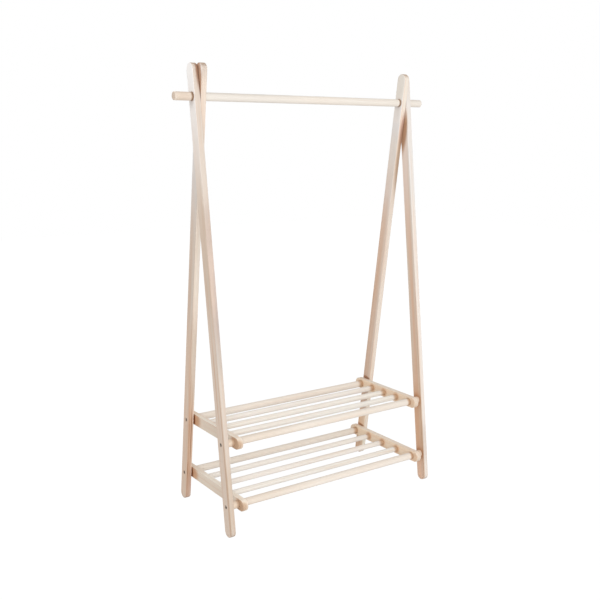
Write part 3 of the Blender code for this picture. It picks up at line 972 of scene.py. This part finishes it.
# Painted shade in the gaps where the rail passes through the legs.
bore_shade = (0.42, 0.29, 0.20)
rail_shade_marks = [bar_mark(-0.4400, rail_axis, 0.0095, bore_shade),
               bar_mark(0.3985, rail_axis, 0.0095, bore_shade),
               bar_mark(-0.4700, rail_axis, 0.060, (0.86, 0.77, 0.70)),
               bar_mark(-0.2500, rail_axis, 0.300, (0.95, 0.96, 0.97))]
rail = round_bar("turned_hanging_rail", rail_radius, rail_low.x, rail_high.x, rail_axis,
                 rail_ease, segments=6)
rail_finish = wood("hanging_rail_wood", (1, 0, 0), (0, *rail_axis), pith=(0.012, 0.031, 12.0),
                   pale=(0.835, 0.777, 0.704), late=(0.64, 0.47, 0.34), warm=(0.79, 0.66, 0.54),
                   warm_share=0.30, late_share=0.26, end_share=0.6, light_and_shade_marks=rail_shade_marks)
finish_piece(rail, "hanging_rail", "rail", rail_finish)

# %% [markdown]
# ## Shelf bars
# Each shelf has a thick bar at the front and back, bored for the inserts, and three thin
# ones between them. Painted shade darkens them where they enter the boards, and each has its
# own tone.
# One loop makes all ten, because only the radius, the bore and the wood differ.

# %% Shelf bars
bar_ease = 0.001
insert_socket = (0.0053, 0.0153)
thick_pale = (0.88, 0.81, 0.725)
thin_pale = (0.89, 0.835, 0.765)
bar_pith = 0.024            # distance of every bar from the log's middle
bar_pith_turn = 2.4         # radians round the log from one bar to the next
bar_log_start = 14.0
bar_log_step = 1.7

# How far the painted shade reaches at the right-hand end, and a factor on the bar's pale colour.
bar_looks = {
    "upper_front": (0.014, (0.955, 0.955, 0.955)),
    "upper_front_thin": (0.021, (1.010, 1.036, 1.050)),
    "upper_middle_thin": (0.026, (0.995, 1.005, 1.005)),
    "upper_back_thin": (0.024, (1.005, 1.015, 1.030)),
    "upper_back": (0.026, (1.005, 1.000, 1.000)),
    "lower_front": (0.012, (0.985, 0.985, 0.990)),
    "lower_front_thin": (0.020, (0.995, 1.020, 1.035)),
    "lower_middle_thin": (0.025, (1.010, 1.020, 1.040)),
    "lower_back_thin": (0.020, (1.015, 1.035, 1.055)),
    "lower_back": (0.023, (0.985, 0.985, 0.985)),
}
bar_number = 0
for shelf, height in shelf_heights.items():
    reach = leg_offset(height)
    bars = {}
    for row, y_sign in rows.items():
        bars[row] = (y_sign, thick_radius, insert_socket, thick_pale)
    for row, share in thin_place_shares.items():
        bars[row] = (share, thin_radius, None, thin_pale)
    for row, (share, radius, socket, pale) in bars.items():
        node = f"{shelf}_shelf_{row}_dowel"
        low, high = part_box(node)
        axis = (share * reach, height)
        bar = round_bar("turned_" + node, radius, low.x, high.x, axis, bar_ease, 3, socket)
        angle = bar_pith_turn * bar_number
        pith = (bar_pith * math.cos(angle), bar_pith * math.sin(angle),
                bar_log_start + bar_log_step * bar_number)
        end_shade_reach, tint = bar_looks[f"{shelf}_{row}"]
        # Painted shade at both ends, where the bar goes into the boards.
        bar_shade_marks = [bar_mark(high.x - 0.010, axis, end_shade_reach, (0.66, 0.47, 0.33)),
                      bar_mark(low.x + 0.009, axis, 0.007, (0.60, 0.46, 0.37), share=0.9)]
        # Painted shade on the front bars by the left board.
        if row == "front":
            bar_shade_marks.append(bar_mark(low.x + 0.030, axis, 0.300, (0.94, 0.91, 0.88)))
        finish = wood(f"{node}_wood", (1, 0, 0), (0, *axis), pith,
                      pale=tuple(a * b for a, b in zip(tint, pale)), late=(0.62, 0.43, 0.29),
                      warm=(0.80, 0.64, 0.51), warm_share=0.34, late_share=0.28, light_and_shade_marks=bar_shade_marks)
        finish_piece(bar, node, "frame", finish)
        bar_number += 1

# %% [markdown]
# ## Spacers
# Short drilled rounds keep the shelf sides clear of the legs. They could be drilled with a
# Boolean, but both end faces can also be inset to the size of the bore and bridged, which
# turns a disc into a ring with clean faces. The left-hand ones are shaded by the board
# beside them.

# %% Spacers
spacer_ease = 0.0008
spacer_pale = (0.80, 0.675, 0.545)
spacer_shade = (0.76, 0.65, 0.56)

for row, y_sign in rows.items():
    for shelf, height in shelf_heights.items():
        for side, sign in sides.items():
            node = f"{shelf}_{row}_{side}_spacer"
            low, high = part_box(node)
            spot = (y_sign * leg_offset(height), height)
            ring = round_bar("sawn_" + node, thick_radius, low.x, high.x, spot, spacer_ease, 2)
            edit(ring)
            pick("faces", is_end)
            bpy.ops.mesh.inset(thickness=thick_radius - spacer_ease - bolt_bore_radius)
            bpy.ops.mesh.bridge_edge_loops()
            leave_edit()
            shade = []
            if side == "left":
                shade = [((high.x, *spot), band(0.012), 1.0, spacer_shade, None)]
            # Each spacer is sawn from another place in the log.
            pith = (0.02, 0.01 * sign, 40 + height * 9 + low.x)
            finish = wood(f"{node}_wood", (1, 0, 0), (low.x, *spot), pith, spacer_pale,
                          late_colour, warm_colour, end_share=0.8, light_and_shade_marks=shade)
            finish_piece(ring, node, "frame", finish)

# %% [markdown]
# ## Metal
# The bolts are dark steel and the inserts brass. Both have been handled: their colour is
# cloudy, and fine scratches run along their length. The scratches could be cut into the
# mesh, but they are far too small to be seen as shapes, so they are a bump.

# %% Metal finishes
cloud_scale = 420.0
scratch_scale = 2600.0
scratch_strength = 0.15
scratch_depth = 0.0001


def metal(name, colour, roughness, stain, stain_share):
    """Metal whose colour and gloss vary a little, as they do when it has been handled."""
    material = bpy.data.materials.new(name)
    material.use_nodes = True
    g = Graph(material.node_tree)
    placed = g.node("ShaderNodeTexCoord")[3]
    cloud = g.noise(placed, cloud_scale, 3.0, 0.6)
    scratch = g.noise(g.scaled(placed, (0.15, 1, 1)), scratch_scale)
    tone = g.mix(g.smooth(cloud, 0.4, 0.75) * stain_share, colour, stain)
    bump = g.node("ShaderNodeBump", {}, {
        "Strength": scratch_strength, "Distance": scratch_depth, "Height": scratch})[0]
    shader = g.node("ShaderNodeBsdfPrincipled", {}, {
        "Base Color": tone, "Metallic": 1.0, "Roughness": roughness + (cloud - 0.5) * 0.25,
        "Normal": bump})[0]
    g.node("ShaderNodeOutputMaterial", {}, {"Surface": shader})
    return material


steel = metal("bolt_steel", (0.20, 0.17, 0.145), 0.42, (0.09, 0.07, 0.055), 0.7)
brass = metal("insert_brass", (0.62, 0.50, 0.28), 0.36, (0.38, 0.27, 0.14), 0.6)
print("metals:", steel.name, brass.name)

# %% [markdown]
# ## A bolt
# The heads are sunk, and only a dark recess shows. A socket head has a chamfered rim and a
# hexagon for the key. The shank comes out of the back of the head by an inset and two
# extrusions, the last one tapered for the point.

# %% A bolt
head_sides = 48
head_radius = 0.0056
head_height = 0.004
shank_radius = 0.003
rim_chamfer = 0.0006
point_length = 0.0006
point_taper = 0.8
key_width = 0.005
key_depth = 0.0024


def bolt(name, length):
    """A socket-head bolt, head at z = 0 to head_height, shank down to -length."""
    bpy.ops.object.select_all(action="DESELECT")
    bpy.ops.mesh.primitive_cylinder_add(vertices=head_sides, radius=head_radius, depth=head_height,
                                        location=(0, 0, head_height / 2))
    made = bpy.context.object
    made.name = made.data.name = name
    apply_place(made)
    edit(made)
    pick("edges", lambda e: all(v.co.z > head_height - tiny for v in e.verts))
    bpy.ops.mesh.bevel(offset=rim_chamfer, segments=3, affect="EDGES")
    pick("faces", lambda f: is_end(f) and f.calc_center_median().z < tiny)
    bpy.ops.mesh.inset(thickness=head_radius - shank_radius)
    bpy.ops.mesh.extrude_region_move(
        TRANSFORM_OT_translate={"value": (0, 0, point_length - length)})
    bpy.ops.mesh.extrude_region_move(TRANSFORM_OT_translate={"value": (0, 0, -point_length)})
    bpy.ops.transform.resize(value=(point_taper, point_taper, 1), center_override=(0, 0, -length))
    leave_edit()
    bpy.ops.object.select_all(action="DESELECT")
    key_radius = key_width / 2 / math.cos(math.pi / 6)
    bpy.ops.mesh.primitive_cylinder_add(vertices=6, radius=key_radius, depth=2 * key_depth,
                                        location=(0, 0, head_height))
    key = bpy.context.object
    apply_place(key)
    apply_modifier(made, "BOOLEAN", operation="DIFFERENCE", solver="EXACT", object=key)
    bpy.data.objects.remove(key, do_unlink=True)
    return made


print(f"bolt heads {head_radius * 2000:.1f} mm across, for a key of {key_width * 1000:.0f} mm")

# %% [markdown]
# ## All eight bolts
# The four bolts of a row have one length, so each row needs one pattern, which is copied.
# A copy is turned so that its head looks outwards and its shank points at the shelf.

# %% All eight bolts
for row, y_sign in rows.items():
    low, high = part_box(f"upper_{row}_left_bolt")
    pattern = bolt(f"{row}_bolt_pattern", high.x - low.x - head_height)
    for shelf, height in shelf_heights.items():
        for side, sign in sides.items():
            node = f"{shelf}_{row}_{side}_bolt"
            low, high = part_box(node)
            piece = pattern.copy()
            piece.data = pattern.data.copy()
            piece.name = piece.data.name = "machined_" + node
            bpy.context.scene.collection.objects.link(piece)
            head_x = low.x + head_height if sign < 0 else high.x - head_height
            piece.rotation_euler = Euler((0, sign * math.pi / 2, 0))
            piece.location = (head_x, y_sign * leg_offset(height), height)
            apply_place(piece)
            finish_piece(piece, node, "frame", steel)
    bpy.data.objects.remove(pattern, do_unlink=True)

# %% [markdown]
# ## Inserts
# The inserts sit inside the bars and can't be seen. They could be modelled anew, but their
# CAD shape is right as it is, so they keep it and only get their brass.

# %% Inserts
for node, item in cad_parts.items():
    if node.endswith("_insert"):
        for slot_place in item.material_slots:
            slot_place.material = brass
print("inserts:", sum(node.endswith("_insert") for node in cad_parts))
